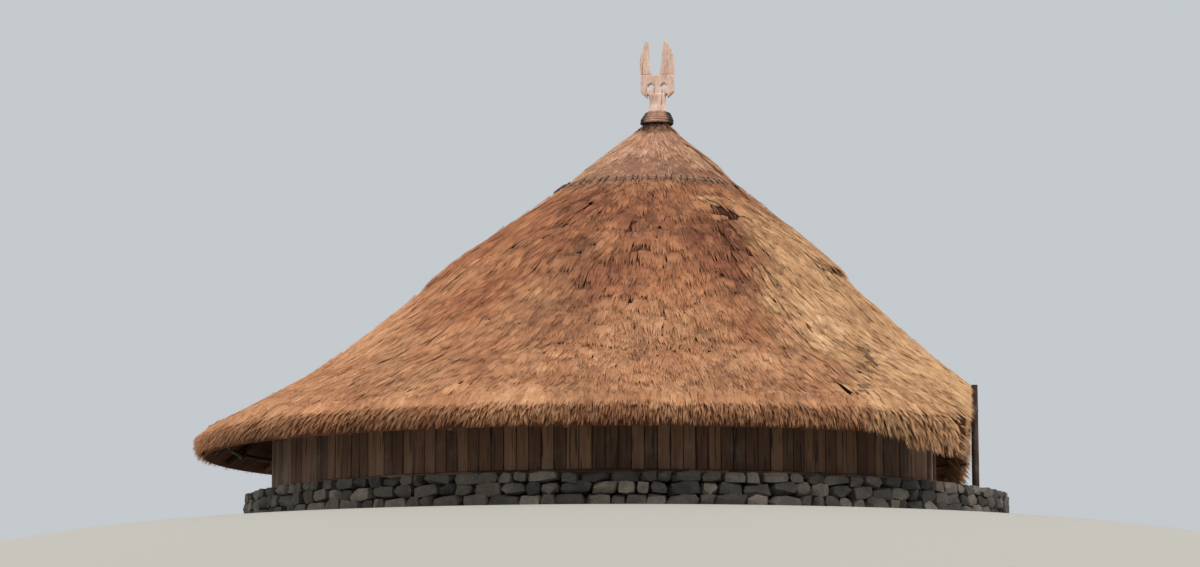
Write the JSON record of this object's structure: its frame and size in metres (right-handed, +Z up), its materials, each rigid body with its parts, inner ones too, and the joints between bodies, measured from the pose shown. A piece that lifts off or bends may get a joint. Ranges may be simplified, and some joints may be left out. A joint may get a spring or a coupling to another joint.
{
  "type": "round thatched clan house",
  "caption": "Round house with a squat thatched cone roof, horned finial, low board wall on a stone ring and a porch cut into the thatch.",
  "frame": {"origin": "on the ground, centre of the centre post's foot, under the tip of the roof", "axes": "+Z up; +X out through the doorway and porch; +Y to the left of someone facing out of the door"},
  "size_m": [11.5468, 12.2, 7.0603],
  "materials": {
    "thatch": "weathered reddish brown grass thatch, matt and fibrous",
    "thatch_top": "paler pinkish grass thatch, matt and fibrous",
    "binding": "near black palm fibre, matt",
    "carved_wood": "bare weathered pale wood with fine checks",
    "dark_timber": "dark weathered hewn timber, matt",
    "poles": "debarked poles with fibre lashings, matt",
    "boards": "weathered sawn boards with open joints, matt",
    "field_stone": "dark rough field stones laid dry"
  },
  "bodies": {
    "root": {"plinth_1": "field_stone", "plinth_2": "field_stone", "plinth_3": "field_stone", "plinth_4": "field_stone", "plinth_5": "field_stone", "plinth_6": "field_stone", "plinth_7": "field_stone", "plinth_8": "field_stone", "floor": "boards", "floor_bearer_front": "dark_timber", "floor_bearer_back": "dark_timber", "centre_post": "dark_timber", "main_post_1": "dark_timber", "main_post_2": "dark_timber", "main_post_3": "dark_timber", "main_post_4": "dark_timber", "tie_beam_left": "dark_timber", "tie_beam_right": "dark_timber", "tie_beam_front": "dark_timber", "tie_beam_back": "dark_timber", "ring_wall_1": "boards", "ring_wall_2": "boards", "ring_wall_3": "boards", "ring_wall_4": "boards", "ring_wall_5": "boards", "ring_wall_6": "boards", "ring_wall_7": "boards", "ring_wall_8": "boards", "ring_wall_9": "boards", "ring_wall_10": "boards", "corner_post_left": "dark_timber", "corner_post_right": "dark_timber", "wall_plate": "poles", "rafters": "poles", "front_wall_left": "boards", "front_wall_right": "boards", "front_wall_over_door": "boards", "door_sill": "dark_timber", "door_jamb_left": "dark_timber", "door_jamb_right": "dark_timber", "door_head": "dark_timber", "porch_post_left": "dark_timber", "porch_post_right": "dark_timber", "porch_lintel": "dark_timber", "thatch_roof": "thatch", "thatch_cap": "thatch_top", "apex_collar": "binding", "finial": "carved_wood", "horn_left": "carved_wood", "horn_right": "carved_wood"}
  },
  "joints": []
}
